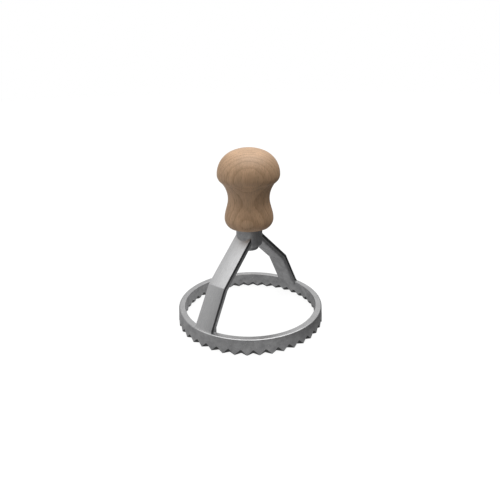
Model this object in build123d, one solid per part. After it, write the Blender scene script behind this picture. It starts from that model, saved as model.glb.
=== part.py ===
from build123d import *
import math
import os

# Round pastry stamp, in millimetres: a one-piece cast aluminium cutter frame, a turned beech
# handle and the countersunk wood screw that holds them together.
# Z is up, the cutting edge stands on Z = 0, the handle's axis is Z and the bow lies along X.

# Cutting ring
ring_radius = 42.5          # outer radius of the machined top face
ring_inner_radius = 38.7
ring_height = 9.3           # cutting edge to top face
ring_draft = 0.5            # how much wider the outer wall is at the bottom
ring_edge_round = 0.8
ring_inner_chamfer = 0.25

# Cutting edge: a zigzag seen from above, ground by gouges from outside and from inside in turn
tooth_count = 40
outer_ridge_radius = ring_radius + ring_draft
outer_valley_radius = 40.5
outer_gouge_height = 3.75   # where a gouge's point leaves the outer wall
inner_ridge_radius = 40.15
inner_valley_radius = 42.6
inner_gouge_height = 3.7    # where a gouge's point leaves the inner wall
gouge_nose = 0.7            # radius along the bottom of every gouge

# Bow: two bent arms that rise from the ring and meet over the axis
foot_reach = 41.55          # outer face of an arm at the ring's top face, from the axis
bend_reach = 29.2
bend_height = 31.2
apex_height = 57.6          # where the two outer faces would meet
arm_thickness = 4.3
foot_half_width = 5.75
apex_half_width = 5.3
bend_outer_radius = 1.5
bend_inner_radius = 3.0
arm_edge_round = 1.3        # soft edges of the inner, as-cast side
foot_flare = 1.0            # spreads a foot along the ring
foot_sink = 0.7             # how deep a foot is rooted in the ring

# Boss under the handle and the narrower hub below it
hub_radius = 5.15
hub_bottom = 44.2
hub_edge_round = 0.5
boss_radius = 7.4
boss_bottom = 47.0
boss_edge_round = 0.7
boss_blend = 0.7            # in the corner between hub and boss
seat_edge_round = 0.4
seat_height = 57.7          # top of the boss, where the handle stands
bore_radius = 2.15

# Handle
base_radius = 11.2
belly_radius = 13.7
belly_height = 62.6
waist_radius = 11.55
waist_height = 73.9
crease_radius = 15.0
crease_height = 83.4
head_radius = 17.2
head_height = 87.4
handle_top = 101.5
crown_radius = 23.0         # flatter cap of the dome

# Screw, measured from the flat of its head
screw_length = 32.0
screw_head_radius = 4.0
screw_head_rim = 0.35
screw_radius = 2.0
screw_core_radius = 1.45
thread_length = 17.5
thread_pitch = 1.8
thread_root_half = 0.5
thread_crest_half = 0.08
thread_overlap = 0.15       # how far the ridge is sunk in the core, so that they join
point_length = 4.0
recess_reach = 2.3
recess_half_width = 0.55
recess_depth = 1.9
recess_taper = 0.45         # the recess's floor as a share of its mouth


def make_gouge(valley_radius, ridge_radius, lean, angle):
    """The material one gouge takes away: a V with a round nose, seen from above, whose flanks run
    through the ridges half a pitch to either side and which leans along the radius on its way up."""
    overrun = 1.0
    height = ring_height / 2
    flank_reach = 2.2
    half_pitch = math.pi / tooth_count
    flank_run = ridge_radius * math.cos(half_pitch) - valley_radius
    far_x = valley_radius + flank_reach * flank_run
    far_y = flank_reach * ridge_radius * math.sin(half_pitch)
    outline = Polygon((valley_radius, 0), (far_x, -far_y), (far_x, far_y), align=None)
    nose = outline.vertices().sort_by_distance((valley_radius, 0))[0]
    section = Pos(-lean * overrun, 0, -overrun) * fillet(nose, gouge_nose)
    length = (overrun + height) * math.hypot(1, lean)
    return Rot(0, 0, angle) * extrude(section, length, dir=(lean, 0, 1))


def make_ring():
    """The cutting ring, with its machined top and the zigzag cutting edge below."""
    section = Polygon(
        (ring_inner_radius, 0),
        (ring_radius + ring_draft, 0),
        (ring_radius, ring_height),
        (ring_inner_radius, ring_height),
        align=None,
    )
    outer_edge = section.vertices().sort_by_distance((ring_radius, ring_height))[0]
    section = fillet(outer_edge, ring_edge_round)
    inner_edge = section.vertices().sort_by_distance((ring_inner_radius, ring_height))[0]
    section = chamfer(inner_edge, ring_inner_chamfer)
    ring = revolve(Plane.XZ * section, Axis.Z)
    pitch = 360 / tooth_count
    outward = (outer_ridge_radius - outer_valley_radius) / outer_gouge_height
    inward = (ring_inner_radius - inner_valley_radius) / inner_gouge_height
    gouges = []
    for n in range(tooth_count):
        gouges.append(
            make_gouge(outer_valley_radius, outer_ridge_radius, outward, (n + 0.5) * pitch)
        )
        gouges.append(make_gouge(inner_valley_radius, inner_ridge_radius, inward, n * pitch))
    return ring - gouges


def make_side_view(thickness):
    """The bow seen from the side: a bent strap of the given thickness, as a sketch face."""
    lean = (foot_reach - bend_reach) / (bend_height - ring_height)
    climb = (apex_height - bend_height) / bend_reach
    root = (foot_reach + foot_sink * lean, ring_height - foot_sink)
    lower_width = thickness * math.hypot(1, lean)
    upper_depth = thickness * math.hypot(1, climb)
    inner_bend_reach = (
        (apex_height - upper_depth) - (root[1] + (root[0] - lower_width) / lean)
    ) / (climb - 1 / lean)
    inner_bend = (inner_bend_reach, apex_height - upper_depth - climb * inner_bend_reach)
    half = Polygon(
        root,
        (bend_reach, bend_height),
        (0, apex_height),
        (0, apex_height - upper_depth),
        inner_bend,
        (root[0] - lower_width, root[1]),
        align=None,
    )
    outer_corner = half.vertices().sort_by_distance((bend_reach, bend_height))[0]
    half = fillet(outer_corner, bend_outer_radius)
    inner_corner = half.vertices().sort_by_distance(inner_bend)[0]
    half = fillet(inner_corner, bend_inner_radius)
    return half + mirror(half, Plane.YZ)


def make_arms():
    """Both arms as one bent strap: flat outer faces, sides that taper upwards, soft inner edges."""
    taper = (foot_half_width - apex_half_width) / (apex_height - ring_height)
    root_half_width = foot_half_width + foot_sink * taper
    front_view = Polygon(
        (-root_half_width, ring_height - foot_sink),
        (root_half_width, ring_height - foot_sink),
        (apex_half_width, apex_height),
        (-apex_half_width, apex_height),
        align=None,
    )
    strap = extrude(Plane.XZ * make_side_view(arm_thickness), 2 * foot_half_width, both=True)
    arms = strap & extrude(Plane.YZ * front_view, 2 * foot_reach, both=True)
    soft_edges = [
        edge
        for face in arms.faces()
        if face.normal_at().Z < 0 and face.center().Z > ring_height
        for edge in face.edges()
        if abs(edge.center().Y) > apex_half_width / 2
    ]
    return fillet(soft_edges, arm_edge_round)


def make_foot_flares():
    """Small concave fillets that spread both sides of each foot along the ring's top face."""
    taper = (foot_half_width - apex_half_width) / (apex_height - ring_height)
    side = foot_half_width - foot_flare * taper
    buried = 1.0
    block = Pos(side - buried, ring_height - foot_sink) * Rectangle(
        buried + foot_flare, foot_sink + foot_flare, align=(Align.MIN, Align.MIN)
    )
    hollow = Pos(side + foot_flare, ring_height + foot_flare) * Circle(foot_flare)
    one_side = block - hollow
    front_view = one_side + mirror(one_side, Plane.YZ)
    strap = extrude(
        Plane.XZ * make_side_view(arm_thickness - arm_edge_round), 2 * foot_half_width, both=True
    )
    flares = strap & extrude(Plane.YZ * front_view, 2 * foot_reach, both=True)
    return flares & Cylinder(ring_radius, 4 * ring_height)


def make_hub():
    """The round boss where the arms meet, with the narrower hub below it, before it is bored."""
    section = Polygon(
        (0, hub_bottom),
        (hub_radius, hub_bottom),
        (hub_radius, boss_bottom),
        (boss_radius, boss_bottom),
        (boss_radius, seat_height),
        (0, seat_height),
        align=None,
    )
    for corner, size in (
        ((hub_radius, hub_bottom), hub_edge_round),
        ((hub_radius, boss_bottom), boss_blend),
        ((boss_radius, boss_bottom), boss_edge_round),
        ((boss_radius, seat_height), seat_edge_round),
    ):
        section = fillet(section.vertices().sort_by_distance(corner)[0], size)
    return revolve(Plane.XZ * section, Axis.Z)


def make_cutter_frame():
    """Ring, teeth, arms, hub and boss: one casting, bored and countersunk for the screw."""
    from_below = (Align.CENTER, Align.CENTER, Align.MIN)
    bore = Cylinder(bore_radius, seat_height - hub_bottom, align=from_below)
    sink_radius = screw_head_radius + screw_head_rim
    sink = Cone(sink_radius, bore_radius, sink_radius - bore_radius, align=from_below)
    solid = make_ring() + make_arms() + make_foot_flares() + make_hub()
    return solid - Pos(0, 0, hub_bottom) * (bore + sink)


def make_cross(reach, half_width):
    """The outline of a cross recess."""
    return Rectangle(2 * reach, 2 * half_width) + Rectangle(2 * half_width, 2 * reach)


def make_screw():
    """Countersunk wood screw, head down, with its head's flat on Z = 0 and its point up."""
    core_top = screw_length - point_length
    thread_bottom = core_top - thread_length
    section = Polygon(
        (0, 0),
        (screw_head_radius, 0),
        (screw_head_radius, screw_head_rim),
        (screw_radius, screw_head_rim + screw_head_radius - screw_radius),
        (screw_radius, thread_bottom),
        (screw_core_radius, thread_bottom + screw_radius - screw_core_radius),
        (screw_core_radius, core_top),
        (0, screw_length),
        align=None,
    )
    thread_start = thread_bottom + thread_pitch
    path = Helix(
        thread_pitch, core_top - thread_start, screw_core_radius, center=(0, 0, thread_start)
    )
    ridge = Polygon(
        (-thread_overlap, -thread_root_half),
        (screw_radius - screw_core_radius, -thread_crest_half),
        (screw_radius - screw_core_radius, thread_crest_half),
        (-thread_overlap, thread_root_half),
        align=None,
    )
    start = Plane(origin=path @ 0, x_dir=(1, 0, 0), z_dir=(0, -1, 0))
    thread = sweep(start * ridge, path, is_frenet=True)
    mouth = make_cross(recess_reach, recess_half_width)
    floor = make_cross(recess_reach * recess_taper, recess_half_width * recess_taper)
    recess = loft([mouth.face(), Plane.XY.offset(recess_depth) * floor.face()], ruled=True)
    return revolve(Plane.XZ * section, Axis.Z) + thread - recess


def make_handle(screw):
    """Turned knob: flat base, belly, waist and a mushroom head, with the screw's own hole."""
    belly = (belly_radius, belly_height)
    waist = (waist_radius, waist_height)
    crease = (crease_radius, crease_height)
    head = (head_radius, head_height)
    base = (base_radius, seat_height)
    top = (0, handle_top)
    rise = handle_top - head_height
    shoulder_radius = (crown_radius**2 - head_radius**2 - (rise - crown_radius) ** 2) / (
        2 * (crown_radius - head_radius)
    )
    reach = head_radius - shoulder_radius
    drop = crown_radius - rise
    spread = crown_radius / math.hypot(reach, drop)
    shoulder = (reach * spread, handle_top - crown_radius + drop * spread)
    shoulder_arc = TangentArc(head, shoulder, tangent=(0, 1))
    outline = (
        Line((0, seat_height), base)
        + TangentArc(belly, base, tangent=(0, -1))
        + Spline(belly, waist, tangents=((0, 1), (0, 1)))
        + TangentArc(waist, crease, tangent=(0, 1))
        + TangentArc(head, crease, tangent=(0, -1))
        + shoulder_arc
        + TangentArc(shoulder, top, tangent=shoulder_arc % 1)
        + Line(top, (0, seat_height))
    )
    return revolve(Plane.XZ * make_face(outline), Axis.Z) - screw


def main():
    screw = Pos(0, 0, hub_bottom) * make_screw()
    pieces = {
        "cutter_frame": make_cutter_frame(),
        "handle": make_handle(screw),
        "handle_screw": screw,
    }
    os.makedirs("parts", exist_ok=True)
    for name, piece in pieces.items():
        export_step(piece, f"parts/{name}.step")


main()
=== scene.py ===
import math

import bpy
import numpy as np
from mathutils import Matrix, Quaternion, Vector


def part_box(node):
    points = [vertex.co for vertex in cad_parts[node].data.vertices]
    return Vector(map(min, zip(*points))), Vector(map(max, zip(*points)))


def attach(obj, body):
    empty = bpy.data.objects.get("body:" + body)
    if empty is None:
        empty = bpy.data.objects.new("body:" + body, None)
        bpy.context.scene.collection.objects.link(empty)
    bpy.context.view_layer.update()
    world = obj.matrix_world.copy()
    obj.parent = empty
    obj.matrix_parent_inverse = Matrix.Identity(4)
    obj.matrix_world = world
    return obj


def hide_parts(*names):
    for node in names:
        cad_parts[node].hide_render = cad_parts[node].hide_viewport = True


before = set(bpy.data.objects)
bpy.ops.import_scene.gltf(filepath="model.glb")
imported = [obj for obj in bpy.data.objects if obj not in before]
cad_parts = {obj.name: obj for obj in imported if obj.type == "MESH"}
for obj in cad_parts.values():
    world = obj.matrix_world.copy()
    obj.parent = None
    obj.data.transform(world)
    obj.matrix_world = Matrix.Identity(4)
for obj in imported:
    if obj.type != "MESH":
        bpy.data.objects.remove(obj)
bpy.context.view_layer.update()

bl_info = {
    "name": "Pastry Stamp",
    "version": (1, 0, 0),
    "blender": (4, 5, 0),
    "location": "3D View > Sidebar > Pastry Stamp",
    "description": "Round toothed pastry stamp: cast aluminium cutter frame and turned beech handle",
    "category": "Add Mesh",
}

MM = 0.001
RING_HEIGHT = 9.3 * MM

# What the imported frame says: the corners of its parts
frame_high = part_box("cutter_frame")[1]
handle_low, handle_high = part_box("handle")
screw_low, screw_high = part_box("handle_screw")


# ---------------------------------------------------------------- settings


class CutterFrameSettings(bpy.types.PropertyGroup):
    """Sizes and colours of the cast cutter frame."""

    tooth_count: bpy.props.IntProperty(
        name="Teeth", description="Teeth round the cutting ring", default=40, min=3
    )
    ring_radius: bpy.props.FloatProperty(
        name="Ring radius",
        description="Outer radius of the ring's machined top face",
        default=42.5 * MM,
        unit="LENGTH",
    )
    ring_inner_radius: bpy.props.FloatProperty(
        name="Ring inner radius",
        description="Radius of the ring's inner wall",
        default=38.7 * MM,
        unit="LENGTH",
    )
    ring_height: bpy.props.FloatProperty(
        name="Ring height",
        description="Height of the machined top face above the cutting edge",
        default=RING_HEIGHT,
        unit="LENGTH",
    )
    arm_thickness: bpy.props.FloatProperty(
        name="Arm thickness",
        description="Thickness of the bow's arms",
        default=4.3 * MM,
        unit="LENGTH",
    )
    cast_light: bpy.props.FloatVectorProperty(
        name="Cast skin, light",
        description="Lighter tone of the tumbled as-cast skin",
        default=(0.70, 0.70, 0.705),
        subtype="COLOR",
        size=3,
    )
    cast_dark: bpy.props.FloatVectorProperty(
        name="Cast skin, dark",
        description="Darker tone of the tumbled as-cast skin",
        default=(0.50, 0.50, 0.51),
        subtype="COLOR",
        size=3,
    )
    machined: bpy.props.FloatVectorProperty(
        name="Machined faces",
        description="Colour of the turned and linished faces",
        default=(0.71, 0.71, 0.715),
        subtype="COLOR",
        size=3,
    )


class HandleSettings(bpy.types.PropertyGroup):
    """Sizes and colours of the turned beech handle."""

    head_radius: bpy.props.FloatProperty(
        name="Head radius",
        description="Largest radius of the mushroom head",
        default=handle_high.x,
        unit="LENGTH",
    )
    belly_radius: bpy.props.FloatProperty(
        name="Belly radius",
        description="Largest radius of the lower bulge",
        default=13.7 * MM,
        unit="LENGTH",
    )
    waist_radius: bpy.props.FloatProperty(
        name="Waist radius",
        description="Smallest radius, where the fingers close",
        default=11.55 * MM,
        unit="LENGTH",
    )
    wood_light: bpy.props.FloatVectorProperty(
        name="Early wood",
        description="Light tone between the growth rings",
        default=(0.84, 0.55, 0.33),
        subtype="COLOR",
        size=3,
    )
    wood_dark: bpy.props.FloatVectorProperty(
        name="Late wood",
        description="Dark tone of the growth rings",
        default=(0.46, 0.25, 0.13),
        subtype="COLOR",
        size=3,
    )
    ring_spacing: bpy.props.FloatProperty(
        name="Growth ring spacing",
        description="Distance between two growth rings",
        default=2.1 * MM,
        unit="LENGTH",
    )


class ScrewSettings(bpy.types.PropertyGroup):
    """Colour of the handle's screw."""

    zinc: bpy.props.FloatVectorProperty(
        name="Zinc",
        description="Colour of the zinc plating",
        default=(0.62, 0.62, 0.6),
        subtype="COLOR",
        size=3,
    )


class StageSettings(bpy.types.PropertyGroup):
    """Floor, studio light and camera."""

    floor_colour: bpy.props.FloatVectorProperty(
        name="Floor", description="Colour of the pale floor", default=(1, 1, 1), subtype="COLOR", size=3
    )
    azimuth: bpy.props.FloatProperty(
        name="Azimuth",
        description="Turn of the camera about the stamp's axis",
        default=math.radians(-51.2),
        subtype="ANGLE",
        unit="ROTATION",
    )
    elevation: bpy.props.FloatProperty(
        name="Elevation",
        description="Height angle of the camera above the ring's top face",
        default=math.radians(28.3),
        subtype="ANGLE",
        unit="ROTATION",
    )
    distance: bpy.props.FloatProperty(
        name="Distance",
        description="Distance from the camera to the middle of the ring's top face",
        default=301.75 * MM,
        unit="LENGTH",
    )
    aim_height: bpy.props.FloatProperty(
        name="Aim height",
        description="Height of the point that the camera looks at",
        default=42.80 * MM,
        unit="LENGTH",
    )
    aim_side: bpy.props.FloatProperty(
        name="Aim to the right",
        description="How far right of the axis the camera looks",
        default=0.27 * MM,
        unit="LENGTH",
    )
    roll: bpy.props.FloatProperty(
        name="Roll",
        description="Turn of the camera about its own line of sight",
        default=math.radians(-0.82),
        subtype="ANGLE",
        unit="ROTATION",
    )
    lens: bpy.props.FloatProperty(
        name="Lens", description="Focal length in millimetres, on a 36 mm sensor", default=35.94
    )


# ---------------------------------------------------------------- surfaces


def grid_faces(rows, columns, close_rows, close_columns):
    """Quads of a grid of points, as an array of corner numbers.
    Point (row, column) has the number row x columns + column; closing joins the last back to the first."""
    row = np.arange(rows if close_rows else rows - 1)
    column = np.arange(columns if close_columns else columns - 1)
    row, column = (part.ravel() for part in np.meshgrid(row, column, indexing="ij"))
    next_row = (row + 1) % rows
    next_column = (column + 1) % columns
    corners = (
        row * columns + column,
        row * columns + next_column,
        next_row * columns + next_column,
        next_row * columns + column,
    )
    return np.column_stack(corners)


def turned(profile, columns):
    """Surface of revolution: the profile's point (r, z) goes to (r cos u, r sin u, z), with u from 0 to
    a full turn."""
    turn = np.linspace(0, 2 * np.pi, columns, endpoint=False)
    reach = profile[:, :1]
    points = np.stack(
        (
            reach * np.cos(turn),
            reach * np.sin(turn),
            np.repeat(profile[:, 1:], columns, axis=1),
        ),
        axis=-1,
    )
    return points.reshape(-1, 3)


def arc(centre, radius, start, end, count):
    """Points of a circle about centre, from the start angle to the end angle, in radians."""
    angle = np.linspace(start, end, count)
    return np.column_stack((centre[0] + radius * np.cos(angle), centre[1] + radius * np.sin(angle)))


def arc_from_upright(start, end, count):
    """Points of the circle that leaves start straight up or down and passes through end.
    Its centre is level with start, at (dr^2 + dz^2) / 2 dr towards end."""
    across = end[0] - start[0]
    rise = end[1] - start[1]
    radius = (across**2 + rise**2) / (2 * across)
    centre = (start[0] + radius, start[1])
    first = math.pi if radius > 0 else 0.0
    last = math.atan2(end[1] - centre[1], end[0] - centre[0])
    if radius > 0 and last < 0:
        last += 2 * math.pi
    return arc(centre, abs(radius), first, last, count)


def make_object(name, points, faces, material_numbers=None, sharp=math.radians(28)):
    """A mesh object from an array of points and an array or list of faces, smooth up to the sharp angle."""
    mesh = bpy.data.meshes.new(name)
    mesh.from_pydata(points, [], faces if isinstance(faces, list) else faces.tolist())
    mesh.validate()
    mesh.polygons.foreach_set("use_smooth", np.ones(len(mesh.polygons), dtype=bool))
    if material_numbers is not None:
        mesh.polygons.foreach_set("material_index", material_numbers)
    mesh.set_sharp_from_angle(angle=sharp)
    mesh.update()
    made = bpy.data.objects.new(name, mesh)
    bpy.context.scene.collection.objects.link(made)
    return made


# Cutting ring and its zigzag edge
RING_DRAFT = 0.5 * MM
RING_EDGE_ROUND = 0.8 * MM
RING_INNER_CHAMFER = 0.25 * MM
OUTER_VALLEY_RADIUS = 40.5 * MM
OUTER_GOUGE_HEIGHT = 3.75 * MM
INNER_RIDGE_RADIUS = 40.15 * MM
INNER_VALLEY_RADIUS = 42.6 * MM
INNER_GOUGE_HEIGHT = 3.7 * MM
GOUGE_NOSE = 0.7 * MM
ZIGZAG_CLEARANCE = 0.02 * MM
# Quads from the inner chamfer over the flat to the upper part of the rounded edge
TURNED_ROWS = 9

# Numbers of the casting's materials. The last is a near-black finish: painted shade on the gouges under the
# teeth and on the arms' sides beside their ground faces
CAST, TURNED, LINISHED, PAINTED_SHADE = 0, 1, 2, 3


def gouge_outline(turn, valley, ridge, half_pitch):
    """Radius of a gouge's outline at a turn from its middle: a straight flank from the valley point to
    the ridge half a pitch away, r = v sin a / sin(a - u), with a circle of the nose radius about
    (c, 0) in the corner, r = c cos u -+ sqrt(n^2 - c^2 sin^2 u)."""
    turn = np.abs(turn)
    run = ridge * math.cos(half_pitch) - valley
    lean = math.atan2(ridge * math.sin(half_pitch), run)
    flank = valley * math.sin(lean) / np.sin(lean - turn)
    side = math.copysign(1.0, run)
    centre = valley + side * GOUGE_NOSE / math.sin(lean)
    touch = math.asin(GOUGE_NOSE * abs(math.cos(lean)) / valley)
    depth = np.sqrt(np.maximum(GOUGE_NOSE**2 - (centre * np.sin(turn)) ** 2, 0))
    nose = centre * np.cos(turn) - side * depth
    return np.where(turn < touch, nose, flank)


def ring_surface(settings):
    """The toothed ring: for each turn u about the axis, a closed section in (r, z) whose lower edge is
    the zigzag between two gouge outlines. From there the outer gouge's wall leans out to the ring's
    outer wall and the inner gouge's wall leans in to the inner wall."""
    outer = settings.ring_radius
    inner = settings.ring_inner_radius
    top = settings.ring_height
    foot = outer + RING_DRAFT
    half_pitch = math.pi / settings.tooth_count
    nose_share = 0.15
    half = np.concatenate(
        (
            np.linspace(0, nose_share, 5),
            np.linspace(nose_share, 1 - nose_share, 6)[1:],
            np.linspace(1 - nose_share, 1, 5)[1:],
        )
    )
    offset = np.concatenate((-half[:0:-1], half[:-1])) * half_pitch
    offset = np.tile(offset, settings.tooth_count)
    middles = np.arange(settings.tooth_count) * 2 * half_pitch
    turn = np.repeat(middles, len(offset) // settings.tooth_count) + offset
    outer_zigzag = gouge_outline(half_pitch - np.abs(offset), OUTER_VALLEY_RADIUS, foot, half_pitch)
    outer_zigzag = np.minimum(outer_zigzag, foot - ZIGZAG_CLEARANCE)
    inner_zigzag = gouge_outline(offset, INNER_VALLEY_RADIUS, INNER_RIDGE_RADIUS, half_pitch)
    outward = (foot - OUTER_VALLEY_RADIUS) / OUTER_GOUGE_HEIGHT
    inward = (INNER_VALLEY_RADIUS - inner) / INNER_GOUGE_HEIGHT
    wall_z = (foot - outer_zigzag) / (outward + RING_DRAFT / top)
    wall_r = foot - RING_DRAFT * wall_z / top
    bevel_z = (inner_zigzag - inner) / inward

    round_base = top - RING_EDGE_ROUND
    level = np.ones_like(turn)
    rows = [
        (level * inner, level * (top - RING_INNER_CHAMFER)),
        (level * (inner + RING_INNER_CHAMFER), level * top),
    ]
    edge = arc((outer - RING_EDGE_ROUND, round_base), RING_EDGE_ROUND, math.pi / 2, 0, 9)
    flat_start = inner + RING_INNER_CHAMFER
    for share in (1 / 3, 2 / 3):
        rows.append((level * (flat_start + share * (edge[0, 0] - flat_start)), level * top))
    rows += [(level * r, level * z) for r, z in edge]
    for share in (1 / 3, 2 / 3, 1):
        rows.append(
            (outer + share * (wall_r - outer), round_base + share * (wall_z - round_base))
        )
    edge_row = len(rows)
    rows.append((outer_zigzag, 0 * level))
    rows.append((inner_zigzag, 0 * level))
    rows.append((level * inner, bevel_z))
    for share in (1 / 3, 2 / 3):
        rows.append((level * inner, bevel_z + share * (top - RING_INNER_CHAMFER - bevel_z)))
    reach = np.array([r for r, _ in rows])
    height = np.array([z for _, z in rows])
    points = np.stack((reach * np.cos(turn), reach * np.sin(turn), height), axis=-1)
    faces = grid_faces(len(rows), len(turn), True, True)
    finish = np.full(len(rows), CAST)
    finish[:TURNED_ROWS] = TURNED
    # The outer and inner gouge faces under the teeth get painted shade: a near-black finish in place of
    # their shade
    finish[edge_row - 1] = PAINTED_SHADE
    finish[edge_row + 1] = PAINTED_SHADE
    return points.reshape(-1, 3), faces, np.repeat(finish, len(turn))


# Bow
FOOT_REACH = 41.55 * MM
BEND_REACH = 29.2 * MM
BEND_HEIGHT = 31.2 * MM
APEX_HEIGHT = 57.6 * MM
FOOT_HALF_WIDTH = 5.75 * MM
APEX_HALF_WIDTH = 5.3 * MM
BEND_OUTER_RADIUS = 1.5 * MM
BEND_INNER_RADIUS = 3.0 * MM
ARM_EDGE_ROUND = 1.3 * MM
# How far down the arm's side the painted shade strip reaches
SHADE_STRIP_DEPTH = 1.7 * MM
ARM_FACE_BREAK = 0.12 * MM
FOOT_FLARE = 1.0 * MM
FOOT_SINK = 0.35 * MM
BEND_POINTS = 9
BEND_CLEARANCE = 2.0 * MM
RIM_CLEARANCE = 0.03 * MM
BURIED_MARGIN = 0.01 * MM


def arm_line(top):
    """Outer face of one arm seen from the side, from its root in the ring to the apex over the axis: a
    straight lower leg, the corner of the bend, repeated, and a straight upper leg. Gives the points,
    their inward normals, and which of the points are the bend's."""
    foot = np.array((FOOT_REACH, top))
    bend = np.array((BEND_REACH, BEND_HEIGHT))
    apex = np.array((0.0, APEX_HEIGHT))
    lower = (bend - foot) / np.linalg.norm(bend - foot)
    upper = (apex - bend) / np.linalg.norm(apex - bend)
    rises = np.concatenate(
        ([-FOOT_SINK, 0], FOOT_FLARE * np.array((0.04, 0.1, 0.2, 0.35, 0.55, 0.8, 1.0, 1.3)))
    )
    near_foot = foot + np.outer(rises / lower[1], lower)
    below_bend = bend - lower * BEND_CLEARANCE
    lower_leg = near_foot[-1] + np.outer(np.linspace(0, 1, 10)[1:], below_bend - near_foot[-1])
    above_bend = upper * BEND_CLEARANCE
    upper_leg = bend + above_bend + np.outer(np.linspace(0, 1, 12), apex - bend - above_bend)
    turn = math.atan2(lower[0] * upper[1] - lower[1] * upper[0], lower @ upper)
    heading = math.atan2(lower[1], lower[0]) + np.linspace(0, 1, BEND_POINTS) * turn
    bend_normals = np.column_stack((-np.sin(heading), np.cos(heading)))
    points = np.concatenate((near_foot, lower_leg, np.tile(bend, (BEND_POINTS, 1)), upper_leg))
    normals = np.concatenate(
        (
            np.tile((-lower[1], lower[0]), (len(near_foot) + len(lower_leg), 1)),
            bend_normals,
            np.tile((-upper[1], upper[0]), (len(upper_leg), 1)),
        )
    )
    normals[-1] = (0, 1 / upper[0])
    in_bend = np.zeros(len(points), dtype=bool)
    in_bend[len(near_foot) + len(lower_leg) : -len(upper_leg)] = True
    return points, normals, in_bend


def bow_surface(settings):
    """The bow: a strap section carried along the arms' outer face line from one foot over the apex to
    the other. A section point is at a depth b along the inward normal n and at an inset from the side.
    In the bend, with middle normal m and half turn h, it is at corner + m (b + p) / cos h - p n, where
    the radius p grows evenly from the outer face to the inner one. The side's distance from the middle
    plane depends on the point's own height."""
    top = settings.ring_height
    thick = settings.arm_thickness
    line, inward, in_bend = arm_line(top)

    face_edge = arc((ARM_FACE_BREAK, ARM_FACE_BREAK), ARM_FACE_BREAK, -math.pi / 2, -math.pi, 4)
    soft_edge = arc(
        (ARM_EDGE_ROUND, thick - ARM_EDGE_ROUND), ARM_EDGE_ROUND, math.pi, math.pi / 2, 8
    )
    right = np.concatenate((face_edge, [(0.0, SHADE_STRIP_DEPTH)], soft_edge))
    side = np.concatenate((np.ones(len(right)), -np.ones(len(right))))
    inset = np.concatenate((right[:, 0], right[::-1, 0]))
    depth = np.concatenate((right[:, 1], right[::-1, 1]))

    bend_normals = inward[in_bend]
    middle = bend_normals[len(bend_normals) // 2]
    cos_half = bend_normals[0] @ middle
    radius = BEND_OUTER_RADIUS + (BEND_INNER_RADIUS - BEND_OUTER_RADIUS) * depth / thick
    place = line[:, None, :] + inward[:, None, :] * depth[None, :, None]
    bend_centres = line[in_bend][0] + np.outer((depth + radius) / cos_half, middle)
    place[in_bend] = bend_centres[None] - radius[None, :, None] * bend_normals[:, None, :]
    place = np.concatenate((place, place[-2::-1] * (-1, 1)))
    rows = len(place)

    height = place[..., 1]
    taper = (FOOT_HALF_WIDTH - APEX_HALF_WIDTH) / (APEX_HEIGHT - top)
    above = np.clip(height - top, 0, FOOT_FLARE)
    flare = FOOT_FLARE - np.sqrt(FOOT_FLARE**2 - (FOOT_FLARE - above) ** 2)
    half_width = FOOT_HALF_WIDTH - taper * (height - top) + flare
    across = side * (half_width - inset)
    points = np.stack((place[..., 0], across, height), axis=-1)
    rim = settings.ring_radius - RING_EDGE_ROUND
    drop = np.clip(height - (top - RING_EDGE_ROUND), 0, RING_EDGE_ROUND)
    limit = rim + np.sqrt(RING_EDGE_ROUND**2 - drop**2) - RIM_CLEARANCE
    from_axis = np.hypot(points[..., 0], points[..., 1])
    buried = (height < top + BURIED_MARGIN) & (from_axis > limit)
    pull = np.where(buried, limit / from_axis, 1.0)
    points[..., 0] *= pull
    points[..., 1] *= pull

    count = len(side)
    faces = grid_faces(rows, count, False, True)
    finish = np.tile(np.full(count, CAST), (rows - 1, 1))
    finish[:, count - 1] = LINISHED
    # A strip of each side beside the ground face gets painted shade: a near-black finish in place of its
    # shade
    flat_side = len(face_edge) - 1
    finish[:, flat_side] = PAINTED_SHADE
    finish[:, count - 2 - flat_side] = PAINTED_SHADE
    ends = [list(range(count - 1, -1, -1)), list(range((rows - 1) * count, rows * count))]
    return points.reshape(-1, 3), faces, finish.ravel(), ends


# Boss and hub
HUB_RADIUS = 5.15 * MM
HUB_EDGE_ROUND = 0.5 * MM
BOSS_RADIUS = 7.4 * MM
BOSS_BOTTOM = 47.0 * MM
BOSS_EDGE_ROUND = 0.7 * MM
BOSS_BLEND = 0.7 * MM
SEAT_EDGE_ROUND = 0.4 * MM
BORE_RADIUS = 2.15 * MM
SINK_RADIUS = 4.35 * MM


def hub_surface():
    """The boss under the handle with the hub below it: a closed section in (r, z), turned about the axis."""
    seat = frame_high.z
    bottom = screw_low.z
    quarter = math.pi / 2
    blend_centre = (HUB_RADIUS + BOSS_BLEND, BOSS_BOTTOM - BOSS_BLEND)
    boss_centre = (BOSS_RADIUS - BOSS_EDGE_ROUND, BOSS_BOTTOM + BOSS_EDGE_ROUND)
    seat_centre = (BOSS_RADIUS - SEAT_EDGE_ROUND, seat - SEAT_EDGE_ROUND)
    profile = np.concatenate(
        (
            [(BORE_RADIUS, bottom + SINK_RADIUS - BORE_RADIUS)],
            [(SINK_RADIUS, bottom)],
            arc((HUB_RADIUS - HUB_EDGE_ROUND, bottom + HUB_EDGE_ROUND), HUB_EDGE_ROUND, -quarter, 0, 6),
            arc(blend_centre, BOSS_BLEND, math.pi, quarter, 6),
            arc(boss_centre, BOSS_EDGE_ROUND, -quarter, 0, 6),
            arc(seat_centre, SEAT_EDGE_ROUND, 0, quarter, 5),
            [(BORE_RADIUS, seat)],
        )
    )
    columns = 96
    points = turned(profile, columns)
    faces = grid_faces(len(profile), columns, True, True)
    return points, faces, np.full(len(faces), CAST)


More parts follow.
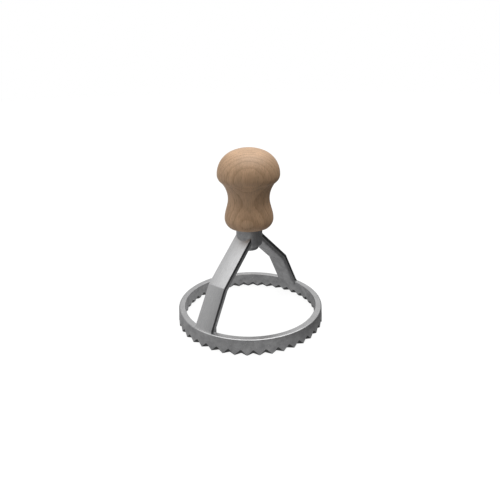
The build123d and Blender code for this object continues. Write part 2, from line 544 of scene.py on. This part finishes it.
def cutter_frame_object(settings):
    """The whole casting as one object: the ring, the bow and the hub in one mesh."""
    ring, ring_faces, ring_finish = ring_surface(settings)
    bow, bow_faces, bow_finish, bow_ends = bow_surface(settings)
    hub, hub_faces, hub_finish = hub_surface()
    points = np.concatenate((ring, bow, hub))
    after_ring = len(ring)
    after_bow = after_ring + len(bow)
    faces = ring_faces[:, ::-1].tolist()
    faces += (bow_faces[:, ::-1] + after_ring).tolist()
    faces += (hub_faces + after_bow).tolist()
    faces += [[corner + after_ring for corner in end] for end in bow_ends]
    finish = np.concatenate((ring_finish, bow_finish, hub_finish, [CAST, CAST]))
    return make_object("cutter_frame_casting", points, faces, finish)


# Handle
BASE_RADIUS = 11.2 * MM
BELLY_HEIGHT = 62.6 * MM
WAIST_HEIGHT = 73.9 * MM
CREASE_RADIUS = 15.0 * MM
CREASE_HEIGHT = 83.4 * MM
HEAD_HEIGHT = 87.4 * MM
CROWN_RADIUS = 23.0 * MM
BASE_EDGE_ROUND = 0.5 * MM
PILOT_RADIUS = 2.05 * MM


def handle_profile(settings):
    """The handle's outline in (r, z), from the end of the screw's hole round to the top of the dome:
    flat base, circular belly, a smooth step 3t^2 - 2t^3 in to the waist, circular neck and underside,
    and a dome of two circles that touch each other."""
    head = (settings.head_radius, HEAD_HEIGHT)
    belly = (settings.belly_radius, BELLY_HEIGHT)
    waist = (settings.waist_radius, WAIST_HEIGHT)
    crease = (CREASE_RADIUS, CREASE_HEIGHT)
    bottom = handle_low.z
    top = handle_high.z
    rise = top - HEAD_HEIGHT
    shoulder_radius = (CROWN_RADIUS**2 - head[0] ** 2 - (rise - CROWN_RADIUS) ** 2) / (
        2 * (CROWN_RADIUS - head[0])
    )
    shoulder_centre = (head[0] - shoulder_radius, HEAD_HEIGHT)
    crown_centre = (0.0, top - CROWN_RADIUS)
    join = math.atan2(
        shoulder_centre[1] - crown_centre[1], shoulder_centre[0] - crown_centre[0]
    )
    belly_arc = arc_from_upright(belly, (BASE_RADIUS, bottom), 20)[::-1]
    step = np.linspace(0, 1, 22)[1:-1]
    into_waist = np.column_stack(
        (
            belly[0] + (waist[0] - belly[0]) * (3 * step**2 - 2 * step**3),
            belly[1] + (waist[1] - belly[1]) * step,
        )
    )
    neck = arc_from_upright(waist, crease, 22)
    underside = arc_from_upright(head, crease, 14)[::-1]
    shoulder = arc(shoulder_centre, shoulder_radius, 0, join, 26)
    crown = arc(crown_centre, CROWN_RADIUS, join, math.pi / 2, 26)
    base = np.array(
        (
            (0.0, screw_high.z),
            (PILOT_RADIUS, screw_high.z - 3 * MM),
            (PILOT_RADIUS, bottom),
            (BASE_RADIUS - BASE_EDGE_ROUND, bottom),
        )
    )
    return np.concatenate((base, belly_arc[2:], into_waist, neck, underside[1:], shoulder[1:], crown[1:]))


def handle_object(settings):
    """The handle: its outline turned about the axis, closed by a fan of triangles at either pole."""
    profile = handle_profile(settings)
    columns = 180
    inside = turned(profile[1:-1], columns)
    faces = grid_faces(len(profile) - 2, columns, False, True).tolist()
    first_pole = len(inside)
    last_pole = first_pole + 1
    last_row = first_pole - columns
    for column in range(columns):
        following = (column + 1) % columns
        faces.append([first_pole, following, column])
        faces.append([last_pole, last_row + column, last_row + following])
    poles = np.array(((0, 0, profile[0, 1]), (0, 0, profile[-1, 1])))
    points = np.concatenate((inside, poles))
    return make_object("turned_handle", points, faces, sharp=math.radians(12))


# ---------------------------------------------------------------- finishes


class Sheet:
    """A node tree, with short calls for the nodes that the finishes are made of."""

    def __init__(self, tree):
        self.tree = tree

    def add(self, kind, inputs=None, **choices):
        made = self.tree.nodes.new(kind)
        for name, value in choices.items():
            setattr(made, name, value)
        for name, value in (inputs or {}).items():
            self.give(made.inputs[name], value)
        return made

    def give(self, socket, value):
        if isinstance(value, bpy.types.NodeSocket):
            self.tree.links.new(value, socket)
        else:
            socket.default_value = value

    def math(self, operation, first, second=0.0, clamp=False):
        made = self.add("ShaderNodeMath", {0: first, 1: second}, operation=operation, use_clamp=clamp)
        return made.outputs[0]

    def vector(self, operation, first, second=(0, 0, 0)):
        made = self.add("ShaderNodeVectorMath", {0: first, 1: second}, operation=operation)
        return made.outputs[0]

    def dot(self, first, second):
        made = self.add("ShaderNodeVectorMath", {0: first, 1: second}, operation="DOT_PRODUCT")
        return made.outputs["Value"]

    def noise(self, vector, scale=1.0, detail=2.0, roughness=0.5):
        inputs = {"Vector": vector, "Scale": scale, "Detail": detail, "Roughness": roughness}
        return self.add("ShaderNodeTexNoise", inputs).outputs[0]

    def ramp(self, value, low, high, new_low=0.0, new_high=1.0):
        inputs = {0: value, 1: low, 2: high, 3: new_low, 4: new_high}
        return self.add("ShaderNodeMapRange", inputs, clamp=True).outputs[0]

    def mix(self, share, first, second, blend="MIX"):
        made = self.add("ShaderNodeMix", {0: share, 6: first, 7: second}, data_type="RGBA", blend_type=blend)
        return made.outputs[2]

    def bump(self, height, distance, strength=1.0):
        inputs = {"Height": height, "Distance": distance, "Strength": strength}
        return self.add("ShaderNodeBump", inputs).outputs[0]


def rgba(colour):
    """A colour with full alpha."""
    return (*colour, 1.0)


def new_group(name, inputs, outputs):
    """An empty shader node group with named sockets, and its sheet, input sockets and output node."""
    tree = bpy.data.node_groups.new(name, "ShaderNodeTree")
    for label, kind, default in inputs:
        socket = tree.interface.new_socket(label, in_out="INPUT", socket_type=kind)
        if default is not None:
            socket.default_value = default
    for label, kind in outputs:
        tree.interface.new_socket(label, in_out="OUTPUT", socket_type=kind)
    sheet = Sheet(tree)
    given = sheet.add("NodeGroupInput").outputs
    result = sheet.add("NodeGroupOutput").inputs
    return tree, sheet, given, result


def metal_skin_group():
    """Mottling and fine grain of a metal skin. Mottle and Grain run from 0 to 1, and Specks is 1 on
    small bright spots."""
    tree, sheet, given, result = new_group(
        "metal_skin",
        [
            ("Vector", "NodeSocketVector", None),
            ("Mottle Size", "NodeSocketFloat", 4 * MM),
            ("Grain Size", "NodeSocketFloat", 0.35 * MM),
        ],
        [("Mottle", "NodeSocketFloat"), ("Grain", "NodeSocketFloat"), ("Specks", "NodeSocketFloat")],
    )
    mottle_scale = sheet.math("DIVIDE", 1.0, given["Mottle Size"])
    grain_scale = sheet.math("DIVIDE", 1.0, given["Grain Size"])
    mottle = sheet.noise(given["Vector"], mottle_scale, 4.0, 0.62)
    grain = sheet.noise(given["Vector"], grain_scale, 3.0, 0.6)
    speck_scale = sheet.math("MULTIPLY", grain_scale, 0.45)
    specks = sheet.noise(given["Vector"], speck_scale, 1.0, 0.4)
    sheet.give(result["Mottle"], sheet.ramp(mottle, 0.3, 0.7))
    sheet.give(result["Grain"], sheet.ramp(grain, 0.25, 0.75))
    sheet.give(result["Specks"], sheet.ramp(specks, 0.7, 0.78))
    return tree


def tool_lines_group():
    """Fine parallel lines left by a tool. The vector's first two parts run along the lines and its
    last one across them, all counted in line spacings."""
    tree, sheet, given, result = new_group(
        "tool_lines",
        [("Vector", "NodeSocketVector", None)],
        [("Lines", "NodeSocketFloat"), ("Height", "NodeSocketFloat")],
    )
    fine = sheet.noise(given["Vector"], 1.0, 3.0, 0.65)
    coarse = sheet.noise(given["Vector"], 0.27, 1.0, 0.5)
    height = sheet.math("ADD", sheet.math("MULTIPLY", fine, 0.85), sheet.math("MULTIPLY", coarse, 0.15))
    sheet.give(result["Lines"], sheet.ramp(height, 0.36, 0.64))
    sheet.give(result["Height"], height)
    return tree


def new_material(name):
    """A material with a Principled BSDF, and its sheet, shader and object coordinates."""
    material = bpy.data.materials.new(name)
    material.use_nodes = True
    sheet = Sheet(material.node_tree)
    shader = material.node_tree.nodes["Principled BSDF"]
    place = sheet.add("ShaderNodeTexCoord").outputs["Object"]
    return material, sheet, shader, place


def cast_material(settings, skin):
    """Tumbled as-cast aluminium: mottled grey, fine grain, tiny bright specks."""
    material, sheet, shader, place = new_material("cast_aluminium_skin")
    coat = sheet.add("ShaderNodeGroup", node_tree=skin)
    sheet.give(coat.inputs["Vector"], place)
    colour = sheet.mix(coat.outputs["Mottle"], rgba(settings.cast_dark), rgba(settings.cast_light))
    grain = sheet.ramp(coat.outputs["Grain"], 0.0, 1.0, 0.82, 1.0)
    colour = sheet.mix(1.0, colour, grain, "MULTIPLY")
    colour = sheet.mix(coat.outputs["Specks"], colour, (0.9, 0.9, 0.9, 1.0))
    sheet.give(shader.inputs["Base Color"], colour)
    sheet.give(shader.inputs["Metallic"], 1.0)
    roughness = sheet.ramp(coat.outputs["Mottle"], 0.0, 1.0, 0.56, 0.44)
    sheet.give(shader.inputs["Roughness"], roughness)
    relief = sheet.math("ADD", coat.outputs["Grain"], sheet.math("MULTIPLY", coat.outputs["Mottle"], 0.8))
    sheet.give(shader.inputs["Normal"], sheet.bump(relief, 0.03 * MM, 0.8))
    return material


def turned_material(settings, skin, lines):
    """The ring's top face: bright, with fine circular turning lines."""
    material, sheet, shader, place = new_material("turned_aluminium")
    parts = sheet.add("ShaderNodeSeparateXYZ", {0: place}).outputs
    flat = sheet.add("ShaderNodeCombineXYZ", {0: parts[0], 1: parts[1]}).outputs[0]
    radius = sheet.add("ShaderNodeVectorMath", {0: flat}, operation="LENGTH").outputs["Value"]
    heading = sheet.vector("NORMALIZE", flat)
    head = sheet.add("ShaderNodeSeparateXYZ", {0: heading}).outputs
    steps = sheet.math("ADD", radius, sheet.math("MULTIPLY", parts[2], 0.7))
    across = sheet.math("MULTIPLY", steps, 1 / (0.16 * MM))
    along = [sheet.math("MULTIPLY", part, 6.0) for part in (head[0], head[1])]
    vector = sheet.add("ShaderNodeCombineXYZ", {0: along[0], 1: along[1], 2: across}).outputs[0]
    marks = sheet.add("ShaderNodeGroup", {"Vector": vector}, node_tree=lines)
    coat = sheet.add("ShaderNodeGroup", node_tree=skin)
    sheet.give(coat.inputs["Vector"], place)
    dim = tuple(0.86 * part for part in settings.machined)
    colour = sheet.mix(marks.outputs["Lines"], rgba(dim), rgba(settings.machined))
    stain = sheet.ramp(coat.outputs["Mottle"], 0.0, 1.0, 0.76, 0.86)
    sheet.give(shader.inputs["Base Color"], sheet.mix(1.0, colour, stain, "MULTIPLY"))
    sheet.give(shader.inputs["Metallic"], 1.0)
    sheet.give(shader.inputs["Roughness"], sheet.ramp(marks.outputs["Lines"], 0.0, 1.0, 0.42, 0.3))
    sheet.give(shader.inputs["Normal"], sheet.bump(marks.outputs["Height"], 0.02 * MM, 0.7))
    return material


def linished_material(settings, skin, lines):
    """The arms' outer faces: belt-ground along their length, a little pitted where the skin was low."""
    material, sheet, shader, place = new_material("linished_aluminium")
    parts = sheet.add("ShaderNodeSeparateXYZ", {0: place}).outputs
    along = [sheet.math("MULTIPLY", part, 1 / (5 * MM)) for part in (parts[0], parts[2])]
    across = sheet.math("MULTIPLY", parts[1], 1 / (0.18 * MM))
    vector = sheet.add("ShaderNodeCombineXYZ", {0: along[0], 1: along[1], 2: across}).outputs[0]
    marks = sheet.add("ShaderNodeGroup", {"Vector": vector}, node_tree=lines)
    coat = sheet.add("ShaderNodeGroup", {"Grain Size": 0.5 * MM}, node_tree=skin)
    sheet.give(coat.inputs["Vector"], place)
    dim = tuple(0.84 * part for part in settings.machined)
    colour = sheet.mix(marks.outputs["Lines"], rgba(dim), rgba(settings.machined))
    pits = sheet.ramp(coat.outputs["Grain"], 0.0, 0.35, 0.72, 1.0)
    sheet.give(shader.inputs["Base Color"], sheet.mix(1.0, colour, pits, "MULTIPLY"))
    sheet.give(shader.inputs["Metallic"], 1.0)
    sheet.give(shader.inputs["Roughness"], sheet.ramp(coat.outputs["Mottle"], 0.0, 1.0, 0.5, 0.4))
    relief = sheet.math("ADD", marks.outputs["Height"], sheet.math("MULTIPLY", coat.outputs["Grain"], 0.5))
    sheet.give(shader.inputs["Normal"], sheet.bump(relief, 0.02 * MM, 0.8))
    return material


def painted_shade_material(settings, skin):
    """Painted shade on the gouges under the teeth and along the arms' sides beside their ground faces:
    the same casting, darkened to near-black where shade and dark reflections fall."""
    material, sheet, shader, place = new_material("painted_shade_aluminium")
    coat = sheet.add("ShaderNodeGroup", node_tree=skin)
    sheet.give(coat.inputs["Vector"], place)
    # Painted shade: near-black colours, a tenth and three tenths of the dark cast skin
    dim = tuple(0.1 * part for part in settings.cast_dark)
    dull = tuple(0.3 * part for part in settings.cast_dark)
    sheet.give(shader.inputs["Base Color"], sheet.mix(coat.outputs["Grain"], rgba(dim), rgba(dull)))
    sheet.give(shader.inputs["Metallic"], 0.6)
    sheet.give(shader.inputs["Roughness"], 0.55)
    sheet.give(shader.inputs["Normal"], sheet.bump(coat.outputs["Grain"], 0.03 * MM, 0.8))
    return material


def screw_material(settings, skin):
    """Bright zinc plating with a faint mottle."""
    material, sheet, shader, place = new_material("zinc_plated_steel")
    coat = sheet.add("ShaderNodeGroup", {"Mottle Size": 1.5 * MM}, node_tree=skin)
    sheet.give(coat.inputs["Vector"], place)
    dim = tuple(0.8 * part for part in settings.zinc)
    colour = sheet.mix(coat.outputs["Mottle"], rgba(dim), rgba(settings.zinc))
    sheet.give(shader.inputs["Base Color"], colour)
    sheet.give(shader.inputs["Metallic"], 1.0)
    sheet.give(shader.inputs["Roughness"], sheet.ramp(coat.outputs["Mottle"], 0.0, 1.0, 0.36, 0.26))
    sheet.give(shader.inputs["Normal"], sheet.bump(coat.outputs["Grain"], 0.01 * MM, 0.5))
    return material


PITH_DISTANCE = 60 * MM
FROM_PITH_SIDE = Vector((-0.766, -0.643, 0.0))
CROSS_SIDE = Vector((0.643, -0.766, 0.0))
FLECK_COLOUR = (0.2, 0.1, 0.05, 1.0)


def beech_material(settings):
    """Turned beech: growth rings about a pith outside the handle, upright fibres, short dark flecks."""
    material, sheet, shader, place = new_material("turned_beech")
    outward = sheet.dot(place, FROM_PITH_SIDE)
    sideways = sheet.dot(place, CROSS_SIDE)
    upright = sheet.add("ShaderNodeSeparateXYZ", {0: place}).outputs[2]
    slow = sheet.add(
        "ShaderNodeCombineXYZ",
        {
            0: sheet.math("MULTIPLY", outward, 60.0),
            1: sheet.math("MULTIPLY", sideways, 60.0),
            2: sheet.math("MULTIPLY", upright, 14.0),
        },
    ).outputs[0]
    sway = sheet.ramp(sheet.noise(slow, 1.0, 2.0, 0.5), 0.0, 1.0, -1.5 * MM, 1.5 * MM)
    from_pith = sheet.add(
        "ShaderNodeCombineXYZ", {0: sheet.math("ADD", outward, PITH_DISTANCE), 1: sideways}
    ).outputs[0]
    distance = sheet.add("ShaderNodeVectorMath", {0: from_pith}, operation="LENGTH").outputs["Value"]
    rings = sheet.math("DIVIDE", sheet.math("ADD", distance, sway), settings.ring_spacing)
    phase = sheet.math("FRACT", rings)
    late = sheet.math("POWER", phase, 3.0)
    soften = sheet.ramp(phase, 0.93, 1.0, 1.0, 0.0)
    late = sheet.math("MULTIPLY", late, soften)

    fibre_place = sheet.add(
        "ShaderNodeCombineXYZ",
        {
            0: sheet.math("MULTIPLY", outward, 1 / (0.5 * MM)),
            1: sheet.math("MULTIPLY", sideways, 1 / (0.5 * MM)),
            2: sheet.math("MULTIPLY", upright, 1 / (14 * MM)),
        },
    ).outputs[0]
    fibres = sheet.ramp(sheet.noise(fibre_place, 1.0, 3.0, 0.6), 0.3, 0.7)
    fleck_place = sheet.add(
        "ShaderNodeCombineXYZ",
        {
            0: sheet.math("MULTIPLY", outward, 1 / (0.9 * MM)),
            1: sheet.math("MULTIPLY", sideways, 1 / (0.28 * MM)),
            2: sheet.math("MULTIPLY", upright, 1 / (2.2 * MM)),
        },
    ).outputs[0]
    flecks = sheet.ramp(sheet.noise(fleck_place, 1.0, 0.0, 0.5), 0.62, 0.72)
    tone = sheet.ramp(sheet.noise(slow, 2.3, 2.0, 0.5), 0.3, 0.7, 0.86, 1.08)

    late_share = sheet.math("MULTIPLY", late, 0.42)
    fibre_share = sheet.math("MULTIPLY", fibres, 0.42)
    share = sheet.math("ADD", late_share, fibre_share, clamp=True)
    colour = sheet.mix(share, rgba(settings.wood_light), rgba(settings.wood_dark))
    colour = sheet.mix(sheet.math("MULTIPLY", flecks, 0.25), colour, FLECK_COLOUR)
    colour = sheet.mix(1.0, colour, tone, "MULTIPLY")
    sheet.give(shader.inputs["Base Color"], colour)
    sheet.give(shader.inputs["Roughness"], sheet.ramp(fibres, 0.0, 1.0, 0.46, 0.58))
    sheet.give(shader.inputs["Coat Weight"], 0.4)
    sheet.give(shader.inputs["Coat Roughness"], 0.38)
    lathe = sheet.add(
        "ShaderNodeCombineXYZ", {2: sheet.math("MULTIPLY", upright, 1 / (0.35 * MM))}
    ).outputs[0]
    relief = sheet.math("ADD", fibres, sheet.math("MULTIPLY", sheet.noise(lathe, 1.0, 1.0), 0.5))
    relief = sheet.math("SUBTRACT", relief, sheet.math("MULTIPLY", flecks, 0.8))
    sheet.give(shader.inputs["Normal"], sheet.bump(relief, 0.02 * MM, 0.6))
    return material


# ---------------------------------------------------------------- stage

# Soft light from a white tent: name, turn from the camera to the right and height, both in degrees,
# then strength and tightness.
TENT_LIGHTS = [
    ("top", 0.0, 90.0, 2.7, 6.0),
    ("left", -95.0, 27.0, 0.72, 8.0),
    ("right", 110.0, 55.0, 1.1, 12.0),
    ("back", 180.0, 28.0, 0.62, 6.0),
]
TENT_FILL = 0.08
FLOOR_GLOW = 0.94
FLOOR_SHADE = (0.12, 0.12, 0.12, 1.0)
FLOOR_BOUNCE = 0.37
FLOOR_BOUNCE_FAR_RIGHT = 0.08
FLOOR_FALL_START = 20 * MM
FLOOR_FALL_END = 60 * MM


def light_direction(azimuth, turn, height):
    """Unit vector towards a light, turned to the right of the camera's side of the object."""
    heading = azimuth + math.radians(turn)
    rise = math.radians(height)
    return Vector(
        (math.sin(heading) * math.cos(rise), -math.cos(heading) * math.cos(rise), math.sin(rise))
    )


def make_tent(settings):
    """The world: plain white to the camera, and to everything else a sum of soft lobes, each its
    strength times the cosine to its direction raised to its tightness."""
    world = bpy.data.worlds.new("light_tent")
    world.use_nodes = True
    world.node_tree.nodes.clear()
    sheet = Sheet(world.node_tree)
    direction = sheet.add("ShaderNodeTexCoord").outputs["Generated"]
    total = None
    for name, turn, height, strength, tightness in TENT_LIGHTS:
        toward = light_direction(settings.azimuth, turn, height)
        facing = sheet.math("MAXIMUM", sheet.dot(direction, toward), 0.0)
        lobe = sheet.math("POWER", facing, tightness)
        scaled = sheet.add("ShaderNodeMath", {0: lobe, 1: strength}, operation="MULTIPLY", name=name)
        total = scaled.outputs[0] if total is None else sheet.math("ADD", total, scaled.outputs[0])
    total = sheet.add("ShaderNodeMath", {0: total, 1: TENT_FILL}, operation="ADD", name="fill").outputs[0]
    seen = sheet.add("ShaderNodeBackground", {"Color": (1, 1, 1, 1), "Strength": 1.0})
    lit = sheet.add("ShaderNodeBackground", {"Color": (1, 1, 1, 1), "Strength": total})
    camera_ray = sheet.add("ShaderNodeLightPath").outputs["Is Camera Ray"]
    both = sheet.add("ShaderNodeMixShader", {0: camera_ray, 1: lit.outputs[0], 2: seen.outputs[0]})
    result = sheet.add("ShaderNodeOutputWorld")
    sheet.give(result.inputs["Surface"], both.outputs[0])
    bpy.context.scene.world = world


def floor_material(settings):
    """Pale floor: almost all its own even white to the camera, with a trace of the object's shadow. The
    light that it sends up to the object is uneven: it falls off to the camera's right, along a direction
    worked out from the azimuth setting."""
    material = bpy.data.materials.new("pale_floor")
    material.use_nodes = True
    material.node_tree.nodes.clear()
    sheet = Sheet(material.node_tree)
    colour = rgba(settings.floor_colour)
    glow = sheet.add("ShaderNodeEmission", {"Color": colour, "Strength": FLOOR_GLOW})
    lit = sheet.add("ShaderNodeBsdfDiffuse", {"Color": FLOOR_SHADE})
    pale = sheet.add("ShaderNodeAddShader", {0: glow.outputs[0], 1: lit.outputs[0]})
    place = sheet.add("ShaderNodeTexCoord").outputs["Object"]
    to_right = Vector((math.cos(settings.azimuth), math.sin(settings.azimuth), 0.0))
    sideways = sheet.dot(place, to_right)
    strength = sheet.ramp(
        sideways, FLOOR_FALL_START, FLOOR_FALL_END, FLOOR_BOUNCE, FLOOR_BOUNCE_FAR_RIGHT
    )
    bounce = sheet.add("ShaderNodeEmission", {"Color": colour, "Strength": strength}, name="bounce")
    camera_ray = sheet.add("ShaderNodeLightPath").outputs["Is Camera Ray"]
    both = sheet.add("ShaderNodeMixShader", {0: camera_ray, 1: bounce.outputs[0], 2: pale.outputs[0]})
    result = sheet.add("ShaderNodeOutputMaterial")
    sheet.give(result.inputs["Surface"], both.outputs[0])
    return material


def make_floor(settings):
    """A flat round floor under the tooth tips, three metres across."""
    profile = np.array(((0.05, 0.0), (0.3, 0.0), (1.5, 0.0)))
    columns = 64
    points = np.concatenate((turned(profile, columns), [(0, 0, 0)]))
    faces = grid_faces(len(profile), columns, False, True)[:, ::-1].tolist()
    centre = len(profile) * columns
    faces += [[centre, column, (column + 1) % columns] for column in range(columns)]
    floor = make_object("pale_floor", points, faces)
    floor.data.materials.append(floor_material(settings))


def make_camera(settings):
    """The camera, on a line from the middle of the ring's top face."""
    turn = settings.azimuth
    rise = settings.elevation
    back = light_direction(turn, 0.0, math.degrees(rise))
    place = Vector((0, 0, RING_HEIGHT)) + back * settings.distance
    aim = Vector(
        (settings.aim_side * math.cos(turn), settings.aim_side * math.sin(turn), settings.aim_height)
    )
    data = bpy.data.cameras.new("studio_camera")
    data.sensor_width = 36.0
    data.lens = settings.lens
    data.clip_start = 10 * MM
    data.clip_end = 20.0
    camera = bpy.data.objects.new("studio_camera", data)
    camera.location = place
    camera.rotation_mode = "QUATERNION"
    look = (aim - place).to_track_quat("-Z", "Y")
    camera.rotation_quaternion = look @ Quaternion((0, 0, 1), settings.roll)
    bpy.context.scene.collection.objects.link(camera)
    bpy.context.scene.camera = camera


# ---------------------------------------------------------------- operators


class PASTRYSTAMP_OT_cutter_frame(bpy.types.Operator):
    """Make the cast cutter frame: toothed ring, bow, boss and hub"""

    bl_idname = "pastrystamp.cutter_frame"
    bl_label = "Make Cutter Frame"

    def execute(self, context):
        settings = context.scene.pastry_cutter_frame
        skin = bpy.data.node_groups.get("metal_skin") or metal_skin_group()
        lines = bpy.data.node_groups.get("tool_lines") or tool_lines_group()
        casting = cutter_frame_object(settings)
        casting.data.materials.append(cast_material(settings, skin))
        casting.data.materials.append(turned_material(settings, skin, lines))
        casting.data.materials.append(linished_material(settings, skin, lines))
        casting.data.materials.append(painted_shade_material(settings, skin))
        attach(casting, "root")
        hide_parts("cutter_frame")
        return {"FINISHED"}


class PASTRYSTAMP_OT_handle(bpy.types.Operator):
    """Make the turned beech handle"""

    bl_idname = "pastrystamp.handle"
    bl_label = "Make Handle"

    def execute(self, context):
        settings = context.scene.pastry_handle
        handle = handle_object(settings)
        handle.data.materials.append(beech_material(settings))
        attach(handle, "root")
        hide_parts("handle")
        return {"FINISHED"}


class PASTRYSTAMP_OT_screw(bpy.types.Operator):
    """Give the handle's screw its zinc finish"""

    bl_idname = "pastrystamp.screw"
    bl_label = "Finish Screw"

    def execute(self, context):
        settings = context.scene.pastry_screw
        skin = bpy.data.node_groups.get("metal_skin") or metal_skin_group()
        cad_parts["handle_screw"].material_slots[0].material = screw_material(settings, skin)
        return {"FINISHED"}


class PASTRYSTAMP_OT_stage(bpy.types.Operator):
    """Set up the pale floor, the soft light and the camera"""

    bl_idname = "pastrystamp.stage"
    bl_label = "Make Stage"

    def execute(self, context):
        settings = context.scene.pastry_stage
        make_tent(settings)
        make_floor(settings)
        make_camera(settings)
        context.scene.view_settings.view_transform = "Standard"
        return {"FINISHED"}


class PASTRYSTAMP_PT_sidebar(bpy.types.Panel):
    """Lists the stamp's pieces and its stage"""

    bl_idname = "PASTRYSTAMP_PT_sidebar"
    bl_label = "Pastry Stamp"
    bl_space_type = "VIEW_3D"
    bl_region_type = "UI"
    bl_category = "Pastry Stamp"

    def draw(self, context):
        scene = context.scene
        for name, operator in GROUPS:
            box = self.layout.box()
            settings = getattr(scene, name)
            for prop in settings.bl_rna.properties:
                if prop.identifier in settings.__annotations__:
                    box.prop(settings, prop.identifier)
            box.operator(operator)


GROUPS = (
    ("pastry_cutter_frame", "pastrystamp.cutter_frame"),
    ("pastry_handle", "pastrystamp.handle"),
    ("pastry_screw", "pastrystamp.screw"),
    ("pastry_stage", "pastrystamp.stage"),
)
SETTINGS = {
    "pastry_cutter_frame": CutterFrameSettings,
    "pastry_handle": HandleSettings,
    "pastry_screw": ScrewSettings,
    "pastry_stage": StageSettings,
}
CLASSES = (
    *SETTINGS.values(),
    PASTRYSTAMP_OT_cutter_frame,
    PASTRYSTAMP_OT_handle,
    PASTRYSTAMP_OT_screw,
    PASTRYSTAMP_OT_stage,
    PASTRYSTAMP_PT_sidebar,
)


def register():
    for made in CLASSES:
        bpy.utils.register_class(made)
    for name, group in SETTINGS.items():
        setattr(bpy.types.Scene, name, bpy.props.PointerProperty(type=group))


def unregister():
    for name in SETTINGS:
        delattr(bpy.types.Scene, name)
    for made in reversed(CLASSES):
        bpy.utils.unregister_class(made)


def main():
    register()
    bpy.ops.pastrystamp.stage()
    bpy.ops.pastrystamp.cutter_frame()
    bpy.ops.pastrystamp.handle()
    bpy.ops.pastrystamp.screw()


if __name__ == "__main__":
    main()
